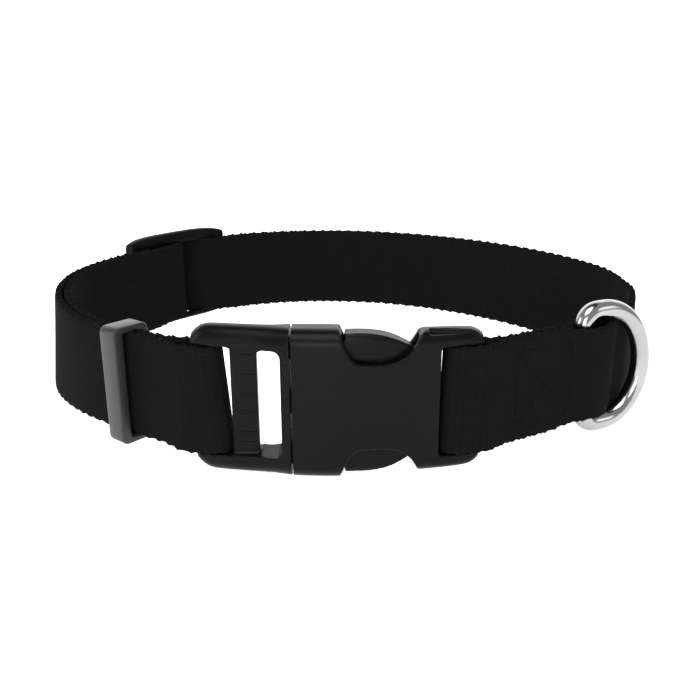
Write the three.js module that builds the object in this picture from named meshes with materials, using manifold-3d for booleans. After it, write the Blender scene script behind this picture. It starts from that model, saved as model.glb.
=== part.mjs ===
// Dog collar: one length of webbing with a side release buckle, a slide adjuster, a keeper loop and a D-ring.
// Millimetres, +Z up. The buckle lies at the front (-Y), its male half at -X and its female half at +X.
import * as THREE from 'three';
import { mergeVertices } from 'three/addons/utils/BufferGeometryUtils.js';
import Module from 'manifold-3d';

const wasm = await Module();
wasm.setup();

// Webbing
const webWidth = 25.4;
const webThick = 1.7;
const gap = 0.3;
const loopWidth = 146;
const loopDepth = 130.6;
const leanOut = 3.2;
const frontSqueeze = 2.2;
const ringSqueeze = 2.0;
const slideSqueeze = 1.2;
const sewnRun = 47;
const tailRun = 8;
const settleRun = 7;

// Buckle
const buckleLength = 59.7;
const buckleHigh = 32.1;
const buckleThick = 9.4;
const buckleBend = 135;
const buckleLeft = -32.5;
const seamAt = -11.9;
const wall = 1.8;
const barThick = 3.2;
const barWide = 4.9;
const railHigh = 3.2;
const femaleSlack = 0.6;
const maleSlack = 1.2;
const ribBarWide = 5.5;
const crossbarWide = 2.1;
const collarRun = 10;
const cutLength = 17;
const cutDeep = 6.9;
const armHigh = 3.6;
const tongueHigh = 4;

// D-ring
const wireThick = 4.2;
const ringReach = 21.6;
const ringAngle = 26.5;
const ringArm = 0.5;
const ringCorner = 1.8;
const ringRun = 9;

// Slide adjuster and keeper loop
const slideLength = 35;
const slideThick = 3.2;
const slideRail = 3.4;
const slideArch = 1.4;
const keeperWide = 5;
const keeperWall = 1.4;
const keeperFront = 2.4;
const keeperDeep = 9;
const keeperSkew = 4;

const highHalf = buckleHigh / 2;
const midHigh = highHalf;
const layer = webThick + gap;
const foldRadius = barThick / 2 + gap + webThick / 2;

// The middle line of the loop, seen from above, as shares of half its width and half its depth
const loopRows = [
  { place: 'ring', across: 0.690, deep: -0.745 },
  { place: 'past the ring', across: 0.806, deep: -0.638 },
  { place: 'right corner', across: 0.897, deep: -0.512 },
  { place: 'right front', across: 0.937, deep: -0.365 },
  { place: 'right', across: 0.948, deep: -0.208 },
  { place: 'right back', across: 0.938, deep: 0.062 },
  { place: 'back right', across: 0.815, deep: 0.375 },
  { place: 'back of right', across: 0.590, deep: 0.648 },
  { place: 'right of back', across: 0.305, deep: 0.852 },
  { place: 'back', across: 0.030, deep: 0.946 },
  { place: 'left of back', across: -0.270, deep: 0.946 },
  { place: 'slide right', across: -0.560, deep: 0.830 },
  { place: 'slide', across: -0.762, deep: 0.616 },
  { place: 'slide left', across: -0.920, deep: 0.330 },
  { place: 'left', across: -1.020, deep: 0.000 },
  { place: 'left front', across: -0.995, deep: -0.330 },
  { place: 'front left', across: -0.845, deep: -0.645 },
];

// Thickness and height of the buckle along its length, as shares of its greatest
const buckleRows = [
  { along: 0.000, thick: 0.52, high: 0.86 },
  { along: 0.025, thick: 0.58, high: 0.95 },
  { along: 0.050, thick: 0.62, high: 0.99 },
  { along: 0.085, thick: 0.64, high: 1.00 },
  { along: 0.230, thick: 0.72, high: 1.00 },
  { along: 0.340, thick: 0.94, high: 1.00 },
  { along: 0.500, thick: 1.00, high: 1.00 },
  { along: 0.640, thick: 0.97, high: 0.98 },
  { along: 0.790, thick: 0.74, high: 0.955 },
  { along: 0.955, thick: 0.58, high: 0.945 },
  { along: 1.000, thick: 0.52, high: 0.90 },
];

const buckleMiddle = buckleLeft + buckleLength / 2;
const buckleFront = -loopDepth / 2;
const buckleY = (x) => buckleFront + buckleBend - Math.sqrt(buckleBend ** 2 - (x - buckleMiddle) ** 2);
const buckleTilt = (x) => Math.asin((x - buckleMiddle) / buckleBend);

const buckleRight = buckleLeft + buckleLength;
const femaleBarAt = buckleRight - barWide + 0.1 * barThick;
const maleBarAt = buckleLeft + barWide - barThick / 2;
const bayHalf = (webWidth - frontSqueeze) / 2 + 1.3 * gap;
const femaleSlotLeft = femaleBarAt - foldRadius - webThick / 2 - femaleSlack;
const cutStart = seamAt + collarRun;
const socketEnd = cutStart + 0.94 * cutLength;

function material(colour, roughness, metalness = 0) {
  return new THREE.MeshStandardMaterial({ color: colour, roughness, metalness });
}
const acetal = () => material(0x202022, 0.42);
const nylon = () => material(0x161618, 0.95);
const nickel = () => material(0xd8d8d6, 0.18, 1);

function clean(geometry) {
  geometry.deleteAttribute('normal');
  geometry.deleteAttribute('uv');
  return mergeVertices(geometry, 1e-4);
}

function solid(geometry) {
  const merged = clean(geometry);
  return new wasm.Manifold(new wasm.Mesh({
    numProp: 3,
    vertProperties: new Float32Array(merged.attributes.position.array),
    triVerts: new Uint32Array(merged.index.array),
  }));
}

function geometryOf(body) {
  const mesh = body.getMesh();
  const geometry = new THREE.BufferGeometry();
  geometry.setAttribute('position', new THREE.BufferAttribute(new Float32Array(mesh.vertProperties), 3));
  geometry.setIndex(new THREE.BufferAttribute(new Uint32Array(mesh.triVerts), 1));
  return geometry;
}

const joined = (bodies) => bodies.reduce((all, body) => all.add(body));

function part(name, geometry, finish) {
  geometry.computeVertexNormals();
  const mesh = new THREE.Mesh(geometry, finish);
  mesh.name = name;
  return mesh;
}

function roundedRectangle(wide, high, radius) {
  const x = wide / 2;
  const y = high / 2;
  const r = Math.min(radius, 0.48 * wide, 0.48 * high);
  const shape = new THREE.Shape();
  shape.moveTo(-x + r, -y);
  shape.lineTo(x - r, -y);
  shape.absarc(x - r, -y + r, r, -Math.PI / 2, 0);
  shape.lineTo(x, y - r);
  shape.absarc(x - r, y - r, r, 0, Math.PI / 2);
  shape.lineTo(-x + r, y);
  shape.absarc(-x + r, y - r, r, Math.PI / 2, Math.PI);
  shape.lineTo(-x, -y + r);
  shape.absarc(-x + r, -y + r, r, Math.PI, 1.5 * Math.PI);
  return shape;
}

// An outline seen from above, stood upright between two heights
function upright(shape, bottom, top, curveSegments = 6) {
  const body = new THREE.ExtrudeGeometry(shape, { depth: top - bottom, bevelEnabled: false, curveSegments });
  return body.translate(0, 0, bottom);
}

// An outline drawn on the front of the buckle (x, height from its middle), cut through from front to back
function through(shape, curveSegments = 6) {
  const deep = 6 * buckleThick;
  const body = new THREE.ExtrudeGeometry(shape, { depth: deep, bevelEnabled: false, curveSegments });
  return solid(body.rotateX(Math.PI / 2).translate(0, buckleFront + deep / 2, midHigh));
}

function rectangle(left, right, bottom, top, radius = 0) {
  const shape = radius ? roundedRectangle(right - left, top - bottom, radius) : new THREE.Shape();
  if (radius) {
    const middle = new THREE.Vector2((left + right) / 2, (bottom + top) / 2);
    return new THREE.Shape(shape.getPoints(4).map((point) => point.add(middle)));
  }
  shape.moveTo(left, bottom).lineTo(right, bottom).lineTo(right, top).lineTo(left, top);
  return shape;
}

// A closed skin through rings of points that all have the same count
function loft(rings) {
  const count = rings[0].length;
  const positions = rings.flat().flatMap((point) => [point.x, point.y, point.z]);
  const faces = [];
  for (let ring = 0; ring < rings.length - 1; ring += 1) {
    for (let step = 0; step < count; step += 1) {
      const a = ring * count + step;
      const b = ring * count + (step + 1) % count;
      faces.push(a, b, b + count, a, b + count, a + count);
    }
  }
  const last = (rings.length - 1) * count;
  for (let step = 1; step < count - 1; step += 1) {
    faces.push(0, step + 1, step);
    faces.push(last, last + step, last + step + 1);
  }
  const geometry = new THREE.BufferGeometry();
  geometry.setAttribute('position', new THREE.Float32BufferAttribute(positions, 3));
  geometry.setIndex(faces);
  return geometry;
}

// The whole outside of the buckle, or a thinner core of it
function buckleBody(inset = 0) {
  const rings = buckleRows.map((row) => {
    const x = buckleLeft + row.along * buckleLength;
    const thick = Math.max(row.thick * buckleThick - 2 * inset, 0.6);
    const section = roundedRectangle(thick, row.high * buckleHigh, 0.36 * row.thick * buckleThick);
    return section.getPoints(3).slice(0, -1).map((point) =>
      new THREE.Vector3(x, buckleY(x) + point.x, midHigh + point.y));
  });
  return solid(loft(rings));
}

function frontSlab(left, right) {
  return through(rectangle(left, right, -buckleHigh, buckleHigh));
}

// Flat oval bar across the buckle that the webbing folds round
function bar(atX, out) {
  const tilt = buckleTilt(atX);
  const shape = new THREE.Shape();
  const half = barThick / 2;
  const run = (barWide - barThick) * out;
  shape.absarc(run, 0, half, out > 0 ? -Math.PI / 2 : Math.PI / 2, out > 0 ? Math.PI / 2 : 1.5 * Math.PI);
  shape.absarc(0, 0, half, out > 0 ? Math.PI / 2 : -Math.PI / 2, out > 0 ? 1.5 * Math.PI : Math.PI / 2);
  const body = upright(shape, midHigh - bayHalf - railHigh / 3, midHigh + bayHalf + railHigh / 3);
  return solid(body.rotateZ(tilt).translate(atX, buckleY(atX), 0));
}

// The side opening that shows the press lobe; side is 1 for the top and -1 for the bottom
function cutOut(side) {
  const left = cutStart;
  const right = cutStart + cutLength;
  const high = highHalf;
  const low = high - cutDeep;
  const shape = new THREE.Shape();
  shape.moveTo(left - 0.6, side * (high + 2));
  shape.lineTo(left, side * (high - 1));
  shape.bezierCurveTo(left + 0.08 * cutLength, side * (high - 0.75 * cutDeep),
    left + 0.16 * cutLength, side * low, left + 0.29 * cutLength, side * low);
  shape.lineTo(left + 0.52 * cutLength, side * low);
  shape.bezierCurveTo(left + 0.72 * cutLength, side * (low + 0.04 * cutDeep),
    left + 0.86 * cutLength, side * (low + 0.26 * cutDeep), right - 0.06 * cutLength, side * (high - 0.2 * cutDeep));
  shape.lineTo(right, side * (high - 0.12 * cutDeep));
  shape.lineTo(right, side * (high + 2));
  return shape;
}

function buckleFemale() {
  const body = buckleBody()
    .intersect(frontSlab(seamAt + gap / 2, buckleRight + 1))
    .subtract(through(cutOut(1), 8))
    .subtract(through(cutOut(-1), 8))
    .subtract(through(rectangle(femaleSlotLeft, buckleRight + 2, -bayHalf, bayHalf)));
  const socketHalf = highHalf - wall;
  const socket = buckleBody(wall)
    .intersect(through(rectangle(seamAt - 1, socketEnd, -socketHalf, socketHalf)));
  return geometryOf(body.subtract(socket).add(bar(femaleBarAt, 1)));
}

// One springing arm with its press lobe
function armOutline(side) {
  const high = highHalf;
  const armTop = high - wall - 3 * gap;
  const lobeLeft = cutStart + 3 * gap;
  const nose = socketEnd - 3 * gap;
  const lobeTop = high - 0.15 * cutDeep;
  const noseHigh = high - 0.64 * cutDeep;
  const under = high - 1.3 * cutDeep;
  const shape = new THREE.Shape();
  shape.moveTo(seamAt - 1, side * armTop);
  shape.lineTo(lobeLeft - gap, side * armTop);
  shape.lineTo(lobeLeft, side * lobeTop);
  shape.bezierCurveTo(lobeLeft + 0.45 * cutLength, side * (lobeTop + 0.6),
    nose - 0.2 * cutLength, side * (lobeTop - 0.2 * cutDeep), nose, side * noseHigh);
  shape.lineTo(nose - 0.04 * cutLength, side * under);
  shape.lineTo(lobeLeft, side * (armTop - armHigh));
  shape.lineTo(seamAt - 1, side * (armTop - armHigh));
  return shape;
}

function buckleMale() {
  const ribLeft = maleBarAt + foldRadius + webThick / 2 + maleSlack;
  const ribRight = ribLeft + ribBarWide;
  const openRight = seamAt - crossbarWide;
  const openHalf = bayHalf - gap;
  const frame = buckleBody()
    .intersect(frontSlab(buckleLeft - 1, seamAt - gap / 2))
    .subtract(through(rectangle(buckleLeft - 2, ribLeft, -bayHalf, bayHalf)))
    .subtract(through(rectangle(ribRight, openRight, -openHalf, openHalf, 1.6)));
  const plug = buckleBody(wall + gap);
  const arms = [1, -1].map((side) => plug.intersect(through(armOutline(side), 8)));
  const tongueEnd = socketEnd - wall;
  const tongue = plug.intersect(through(rectangle(seamAt - 1, tongueEnd, -tongueHigh / 2, tongueHigh / 2)));
  return geometryOf(joined([frame, bar(maleBarAt, -1), tongue, ...arms]));
}

// Smooth steps between rows of { at, out }
function eased(rows, at) {
  if (at <= rows[0].at) return rows[0].out;
  for (let index = 1; index < rows.length; index += 1) {
    const before = rows[index - 1];
    const after = rows[index];
    if (at <= after.at) {
      const share = THREE.MathUtils.smoothstep(at, before.at, after.at);
      return before.out + (after.out - before.out) * share;
    }
  }
  return rows[rows.length - 1].out;
}

function middleLine() {
  const points = loopRows.map((row) =>
    new THREE.Vector3(row.across * loopWidth / 2, row.deep * loopDepth / 2, 0));
  const onBuckle = (x, run) => new THREE.Vector3(x, buckleY(x), 0)
    .add(new THREE.Vector3(Math.cos(buckleTilt(x)), Math.sin(buckleTilt(x)), 0).multiplyScalar(run));
  const ahead = [0, 0.5, 1].map((share) => onBuckle(femaleBarAt, share * barWide));
  const behind = [1, 0.5, 0].map((share) => onBuckle(maleBarAt, -share * barWide));
  return new THREE.CatmullRomCurve3([...ahead, ...points, ...behind], false, 'centripetal');
}

const line = middleLine();
line.arcLengthDivisions = 2000;
const lineLength = line.getLength();

function directionAt(at) {
  const tangent = line.getTangentAt(THREE.MathUtils.clamp(at / lineLength, 0, 1));
  return new THREE.Vector2(tangent.x, tangent.y).normalize();
}

// A place along the middle line, moved outwards from it
function pointBeside(at, out) {
  const point = line.getPointAt(THREE.MathUtils.clamp(at / lineLength, 0, 1));
  const direction = directionAt(at);
  return new THREE.Vector2(point.x + direction.y * out, point.y - direction.x * out);
}

function nearestOn(across, deep) {
  const target = new THREE.Vector2(across * loopWidth / 2, deep * loopDepth / 2);
  let best = 0;
  let least = Infinity;
  for (let at = 0; at <= lineLength; at += 0.5) {
    const distance = pointBeside(at, 0).distanceTo(target);
    if (distance < least) {
      least = distance;
      best = at;
    }
  }
  return best;
}

const placeOf = (name) => loopRows.find((row) => row.place === name);
const ringAt = nearestOn(0.745, -0.695);
const slideAt = nearestOn(placeOf('slide').across, placeOf('slide').deep);
const keeperAt = nearestOn(-0.668, -0.830);
const ringPlace = pointBeside(ringAt, 0);
const keeperPlace = pointBeside(keeperAt, 0);
const keeperTurn = directionAt(keeperAt).angle();
const ringHold = wireThick / 2 + gap + webThick / 2;

// Frame of the slide adjuster: its end bars stand outside the strap, the strap dips outside its middle bar
const slideOut = layer / 2 + webThick / 2 + gap + slideThick / 2;
const slideEnd = slideLength / 2 - slideThick / 2;
const slideRight = slideAt - slideEnd;
const slideLeft = slideAt + slideEnd;
const slideFold = slideThick / 2 + gap + webThick / 2;
const dip = slideOut + slideFold + layer;
const maleAt = lineLength;

const outerRows = [
  { at: barWide - barThick / 2, out: foldRadius },
  { at: barWide + settleRun, out: layer / 2 },
  { at: ringAt - ringRun, out: layer / 2 },
  { at: ringAt - 1, out: ringHold },
  { at: ringAt + 1, out: ringHold },
  { at: ringAt + ringRun, out: layer / 2 },
  { at: slideRight + 1.5, out: layer / 2 },
  { at: slideAt - 2.5, out: dip },
  { at: slideAt + 2.5, out: dip },
  { at: slideLeft - 1.5, out: layer / 2 },
  { at: maleAt - barWide - settleRun, out: layer / 2 },
  { at: maleAt - barWide + barThick / 2, out: foldRadius },
];

const frontInnerRows = [
  { at: barWide - barThick / 2, out: -foldRadius },
  { at: barWide + settleRun, out: -layer / 2 },
  { at: ringAt - ringRun, out: -layer / 2 },
  { at: ringAt - 1, out: -ringHold },
  { at: ringAt + 1, out: -ringHold },
  { at: ringAt + ringRun, out: -layer / 2 },
];

const leftInnerRows = [
  { at: slideAt, out: slideOut - slideFold },
  { at: slideLeft - 1.5, out: -layer / 2 - gap },
  { at: slideLeft + 10, out: -layer / 2 - gap },
  { at: maleAt - barWide - settleRun, out: -layer / 2 },
  { at: maleAt - barWide + barThick / 2, out: -foldRadius },
];

function stretch(rows, from, to, step) {
  const count = Math.max(2, Math.round(Math.abs(to - from) / step));
  return Array.from({ length: count + 1 }, (_, index) => {
    const at = from + (to - from) * index / count;
    return pointBeside(at, eased(rows, at));
  });
}

function foldPoints(centre, radius, tangent, direction) {
  // half a turn from the inner side to the outer side, round the far side of a bar
  const outward = new THREE.Vector2(tangent.y, -tangent.x);
  return Array.from({ length: 9 }, (_, index) => {
    const angle = Math.PI * (index + 1) / 10;
    return centre.clone()
      .addScaledVector(outward, -Math.cos(angle) * radius)
      .addScaledVector(tangent, direction * Math.sin(angle) * radius);
  });
}

// The strap from its sewn inner end by the D-ring to its sewn end on the slide
function strapLine() {
  const slideBar = pointBeside(slideAt, slideOut);
  const plain = barWide + settleRun;
  return [
    ...stretch(frontInnerRows, sewnRun, 0, 1.6),
    ...foldPoints(pointBeside(0, 0), foldRadius, directionAt(0), -1),
    ...stretch(outerRows, 0, sewnRun, 1.6),
    ...stretch(outerRows, sewnRun + 5, slideRight - 1, 5.5),
    ...stretch(outerRows, slideRight, slideLeft, 1.5),
    ...stretch(outerRows, slideLeft + 4, maleAt - plain - 4, 5),
    ...stretch(outerRows, maleAt - plain, maleAt, 1.5),
    ...foldPoints(pointBeside(maleAt, 0), foldRadius, directionAt(maleAt), 1).reverse(),
    ...stretch(leftInnerRows, maleAt, maleAt - plain, 1.5),
    ...stretch(leftInnerRows, maleAt - plain - 4, slideLeft + 4, 5),
    ...stretch(leftInnerRows, slideLeft, slideAt, 1.5),
    ...foldPoints(slideBar, slideFold, directionAt(slideAt), -1),
    ...Array.from({ length: 4 }, (_, index) =>
      pointBeside(slideAt + tailRun * index / 3, slideOut + slideFold - 1.1 * index)),
  ];
}

// Four corners of the strap across a point of its line: outer and inner, at its lower and upper edge
function strapSection(point, before, after) {
  const direction = after.clone().sub(before).normalize();
  const half = webThick / 2;
  const corner = (side, up) => {
    const x = point.x + side * direction.y * half;
    const y = point.y - side * direction.x * half;
    return leanAndSqueeze(x, y, up);
  };
  return [corner(1, 0), corner(-1, 0), corner(-1, 1), corner(1, 1)];
}

// How far a point of the strap is inside a stretch that is drawn together, from 0 to 1
function held(x, y, centre, turn, from, to, ease) {
  const along = (x - centre.x) * Math.cos(turn) + (y - centre.y) * Math.sin(turn);
  const aside = Math.abs((x - centre.x) * Math.sin(turn) - (y - centre.y) * Math.cos(turn));
  if (aside > 3 * barWide) return 0;
  return THREE.MathUtils.smoothstep(along, from - ease, from) * (1 - THREE.MathUtils.smoothstep(along, to, to + ease));
}

// The strap leans out towards its lower edge on the left, and is narrower along the front, in the ring and the slide
function leanAndSqueeze(x, y, up) {
  const side = THREE.MathUtils.smoothstep(-x, 0.37 * loopWidth, 0.50 * loopWidth)
    * (1 - THREE.MathUtils.smoothstep(Math.abs(y + 0.08 * loopDepth), 0.04 * loopDepth, 0.30 * loopDepth));
  const inRing = held(x, y, ringPlace, THREE.MathUtils.degToRad(ringAngle),
    -wireThick / 2, 0.7 * ringReach, 2.5 * wireThick);
  const inSlide = held(x, y, pointBeside(slideAt, 0), directionAt(slideAt).angle(),
    -slideLength / 2, slideLength / 2, slideRail);
  const atFront = 1 - THREE.MathUtils.smoothstep(y, -0.8 * loopDepth / 2, -0.42 * loopDepth / 2);
  const width = webWidth - frontSqueeze * atFront - ringSqueeze * inRing - slideSqueeze * inSlide;
  return new THREE.Vector3(x - leanOut * side * (1 - up), y, midHigh + width * (up - 0.5));
}

function webbing() {
  const points = strapLine();
  const rings = points.map((point, index) =>
    strapSection(point, points[Math.max(index - 1, 0)], points[Math.min(index + 1, points.length - 1)]));
  return loft(rings);
}

// Straight bar, two short arms and a round bow, as one closed line
function ringPoints() {
  const half = buckleHigh / 2 - wireThick / 2 - gap / 3;
  const reach = ringReach - wireThick;
  const arm = reach * ringArm;
  const corner = ringCorner;
  const points = [];
  const add = (out, up) => points.push(new THREE.Vector3(out, 0, up));
  add(0, 0);
  add(0, half - corner - 3);
  for (let step = 0; step <= 3; step += 1) {
    const angle = Math.PI / 2 * step / 3;
    add(corner - corner * Math.cos(angle), half - corner + corner * Math.sin(angle));
  }
  for (let step = 0; step <= 12; step += 1) {
    const angle = Math.PI * step / 12;
    add(arm + (reach - arm) * Math.sin(angle), half * Math.cos(angle));
  }
  for (let step = 3; step >= 0; step -= 1) {
    const angle = Math.PI / 2 * step / 3;
    add(corner - corner * Math.cos(angle), -half + corner - corner * Math.sin(angle));
  }
  add(0, -half + corner + 3);
  return points;
}

function ringLoop() {
  const points = ringPoints();
  const sides = 12;
  const rings = points.map((point, index) => {
    const before = points[(index + points.length - 1) % points.length];
    const after = points[(index + 1) % points.length];
    const tangent = after.clone().sub(before).normalize();
    const across = new THREE.Vector3(0, 1, 0);
    const out = new THREE.Vector3().crossVectors(across, tangent);
    return Array.from({ length: sides }, (_, side) => {
      const angle = 2 * Math.PI * (side + 0.5) / sides;
      return point.clone()
        .addScaledVector(out, Math.cos(angle) * wireThick / 2)
        .addScaledVector(across, Math.sin(angle) * wireThick / 2);
    });
  });
  const positions = rings.flat().flatMap((point) => [point.x, point.y, point.z]);
  const faces = [];
  for (let ring = 0; ring < rings.length; ring += 1) {
    for (let side = 0; side < sides; side += 1) {
      const next = (ring + 1) % rings.length;
      const a = ring * sides + side;
      const b = ring * sides + (side + 1) % sides;
      const c = next * sides + (side + 1) % sides;
      const d = next * sides + side;
      faces.push(a, b, c, a, c, d);
    }
  }
  const geometry = new THREE.BufferGeometry();
  geometry.setAttribute('position', new THREE.Float32BufferAttribute(positions, 3));
  geometry.setIndex(faces);
  return geometry;
}

function dRing() {
  const ring = ringLoop();
  return ring.rotateZ(THREE.MathUtils.degToRad(ringAngle)).translate(ringPlace.x, ringPlace.y, midHigh);
}

function slideAdjuster() {
  const half = (webWidth - slideSqueeze) / 2 + gap;
  const railMiddle = half + slideRail / 2;
  const section = roundedRectangle(slideRail, slideThick, 1);
  const rails = [1, -1].map((side) => {
    const points = Array.from({ length: 9 }, (_, index) => {
      const at = slideAt + (index / 8 - 0.5) * slideLength;
      const place = pointBeside(at, slideOut);
      const rise = railMiddle - slideArch * ((index / 8 - 0.5) * 2) ** 6;
      return new THREE.Vector3(place.x, place.y, midHigh + side * rise);
    });
    const path = new THREE.CatmullRomCurve3(points);
    return solid(new THREE.ExtrudeGeometry(section, { steps: 12, extrudePath: path, curveSegments: 3 }));
  });
  const bars = [slideRight, slideAt, slideLeft].map((at) => {
    const place = pointBeside(at, slideOut);
    const shape = roundedRectangle(slideThick, slideThick, 0.45 * slideThick);
    const post = upright(shape, midHigh - half - slideRail / 3, midHigh + half + slideRail / 3, 3);
    return solid(post.rotateZ(directionAt(at).angle()).translate(place.x, place.y, 0));
  });
  return geometryOf(joined([...rails, ...bars]));
}

// A band round both layers, its front wall thicker and standing off the strap
function keeperLoop() {
  const high = webWidth - frontSqueeze + 2 * gap + 2 * keeperWall;
  const inside = webThick + layer + 2 * gap + gap;
  const back = inside / 2;
  const outer = roundedRectangle(keeperDeep, high, 1.6);
  const hollow = roundedRectangle(keeperDeep - keeperWall - keeperFront, high - 2 * keeperWall, 0.6);
  const shift = (keeperFront - keeperWall) / 2;
  outer.holes.push(new THREE.Path(hollow.getPoints(2).map((point) => new THREE.Vector2(point.x - shift, point.y))));
  const loop = new THREE.ExtrudeGeometry(outer, { depth: keeperWide, bevelEnabled: false, curveSegments: 3 });
  loop.translate(keeperDeep / 2 - keeperWall - back, 0, -keeperWide / 2).rotateX(Math.PI / 2);
  const turn = keeperTurn - THREE.MathUtils.degToRad(keeperSkew) - Math.PI / 2;
  return clean(loop.rotateZ(turn).translate(keeperPlace.x, keeperPlace.y, midHigh));
}

const collar = new THREE.Group();
collar.add(
  part('webbing', webbing(), nylon()),
  part('buckle_male', buckleMale(), acetal()),
  part('buckle_female', buckleFemale(), acetal()),
  part('d_ring', dRing(), nickel()),
  part('slide_adjuster', slideAdjuster(), acetal()),
  part('keeper_loop', keeperLoop(), acetal()),
);

const box = new THREE.Box3().setFromObject(collar);
const middle = box.getCenter(new THREE.Vector3());
collar.position.set(-middle.x, -middle.y, -box.min.z);

export default collar;
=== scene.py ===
# Dog collar lying on a pale studio floor.
# Blender works in metres; the settings below are in millimetres, in the plan the collar was laid out in.
import math
import bpy
from mathutils import Matrix, Vector


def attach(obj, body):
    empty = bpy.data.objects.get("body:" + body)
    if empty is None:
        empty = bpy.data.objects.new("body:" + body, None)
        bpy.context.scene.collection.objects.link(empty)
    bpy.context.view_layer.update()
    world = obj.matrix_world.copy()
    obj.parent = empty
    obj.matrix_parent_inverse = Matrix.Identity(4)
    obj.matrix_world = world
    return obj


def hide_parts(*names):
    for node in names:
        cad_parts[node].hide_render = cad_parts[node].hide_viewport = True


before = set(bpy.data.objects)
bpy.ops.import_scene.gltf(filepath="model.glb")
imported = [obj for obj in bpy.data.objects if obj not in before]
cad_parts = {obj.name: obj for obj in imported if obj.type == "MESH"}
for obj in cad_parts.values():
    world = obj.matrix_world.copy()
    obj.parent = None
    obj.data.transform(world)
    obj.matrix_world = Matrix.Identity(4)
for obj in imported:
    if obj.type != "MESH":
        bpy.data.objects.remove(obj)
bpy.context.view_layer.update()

planShift = Vector((3.9082, 2.7630, 0.0))  # from the plan's middle to the middle of the collar's box
midHigh = 16.05  # height of the strap's middle
mm = 0.001


def place(x, y, z):
    # a point of the plan, as a point of the scene
    return (Vector((x, y, z)) + planShift) * mm


def linear(colour):
    # sRGB hex to the linear values that the shader takes
    parts = [int(colour[at:at + 2], 16) / 255 for at in (1, 3, 5)]
    values = [part / 12.92 if part <= 0.04045 else ((part + 0.055) / 1.055) ** 2.4 for part in parts]
    return tuple(values) + (1.0,)


def smoothStep(value, low, high):
    share = min(max((value - low) / (high - low), 0), 1)
    return share * share * (3 - 2 * share)


def deselectAll():
    if bpy.context.object and bpy.context.object.mode != "OBJECT":
        bpy.ops.object.mode_set(mode="OBJECT")
    bpy.ops.object.select_all(action="DESELECT")


def pick(*pieces):
    deselectAll()
    for piece in pieces:
        piece.select_set(True)
    bpy.context.view_layer.objects.active = pieces[0]


def selectEdges(piece, wanted):
    # selects the edges whose two ends pass the test, and stays in edit mode
    pick(piece)
    bpy.ops.object.mode_set(mode="EDIT")
    bpy.ops.mesh.select_mode(type="EDGE")
    bpy.ops.mesh.select_all(action="DESELECT")
    bpy.ops.object.mode_set(mode="OBJECT")
    for edge in piece.data.edges:
        edge.select = wanted(*(piece.data.vertices[v].co for v in edge.vertices))
    bpy.ops.object.mode_set(mode="EDIT")


def applyModifier(piece, kind, settings):
    pick(piece)
    modifier = piece.modifiers.new(kind.capitalize(), kind)
    for name, value in settings.items():
        setattr(modifier, name, value)
    bpy.ops.object.modifier_apply(modifier=modifier.name)


def cutAway(piece, *cutters):
    for cutter in cutters:
        applyModifier(piece, "BOOLEAN", {"operation": "DIFFERENCE", "solver": "EXACT", "object": cutter})
        bpy.data.objects.remove(cutter)


def join(*pieces):
    pick(*pieces)
    bpy.ops.object.join()
    return bpy.context.object


def turnOut(piece):
    # merges doubles and points the faces outwards
    pick(piece)
    bpy.ops.object.mode_set(mode="EDIT")
    bpy.ops.mesh.select_all(action="SELECT")
    bpy.ops.mesh.remove_doubles(threshold=1e-6)
    bpy.ops.mesh.normals_make_consistent(inside=False)
    bpy.ops.object.mode_set(mode="OBJECT")


def hold(piece, name, body, slot, finish, *nodes):
    # names the piece, gives it its material and its body
    piece.name = name
    piece.data.name = name
    piece.data.materials.clear()
    piece.data.materials.append(finish)
    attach(piece, body)
    if nodes:
        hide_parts(*nodes)
    print("made", name, len(piece.data.polygons), "faces")


# Camera, floor and light

cameraSet = {
    "at": (0.0, -218.4, 77.9),
    "down": 18.35,
    "lens": 41.14,
}
studioSet = {
    "floor": "#fbfbfa",
    "floorMottle": "#f7f7f6",
    "world": "#ffffff",
    "ceilingGap": "#3a3a3c",
    "gapFrom": 0.90,  # height of the dark gap between the ceiling's panels, as the sine of its elevation
    "gapTo": 0.97,
    "gapEaseIn": 0.05,
    "gapEaseOut": 0.03,
    "worldStrength": 0.55,
    "seenWhite": 2.0,  # what the camera sees in place of the surroundings
    "floorGlow": 0.85,
    "floorReach": 1.1,
    "wallAt": 0.62,
    "wallHigh": 0.9,
    "cove": 0.25,
    "coveSteps": 16,
    "lamps": [
        # name, place, aimed at, size, power
        ("topLamp", (-0.05, -0.30, 0.62), (0.0, -0.03, 0.0), 0.42, 3.6),
        ("leftLamp", (-0.75, -0.18, 0.22), (0.0, -0.03, 0.01), 0.4, 1.7),
        ("frontLamp", (-0.10, -0.80, 0.20), (0.0, -0.05, 0.01), 0.34, 3.0),
        ("rightLamp", (0.75, -0.30, 0.30), (0.03, -0.03, 0.01), 0.3, 0.6),
    ],
}


def makeCamera():
    bpy.ops.object.camera_add(location=place(*cameraSet["at"]),
                              rotation=(math.radians(90 - cameraSet["down"]), 0, 0))
    camera = bpy.context.object
    camera.name = "camera"
    camera.data.lens = cameraSet["lens"]
    camera.data.sensor_width = 36
    camera.data.clip_start = 0.01
    camera.data.clip_end = 20
    bpy.context.scene.camera = camera


def addNode(tree, kind, settings=None, links=None):
    # a node with its settings, and the sockets that feed it
    node = tree.nodes.new(kind)
    for name, value in (settings or {}).items():
        if isinstance(name, int) or name in node.inputs:
            node.inputs[name].default_value = value
        else:
            setattr(node, name, value)
    for name, socket in (links or {}).items():
        tree.links.new(socket, node.inputs[name])
    return node


def newMaterial(name):
    finish = bpy.data.materials.new(name)
    finish.use_nodes = True
    finish.node_tree.nodes.clear()
    return finish, finish.node_tree


def noise(tree, where, scale, detail, **more):
    node = addNode(tree, "ShaderNodeTexNoise", {"Scale": scale, "Detail": detail, **more}, {"Vector": where})
    return node.outputs[0]


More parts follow.
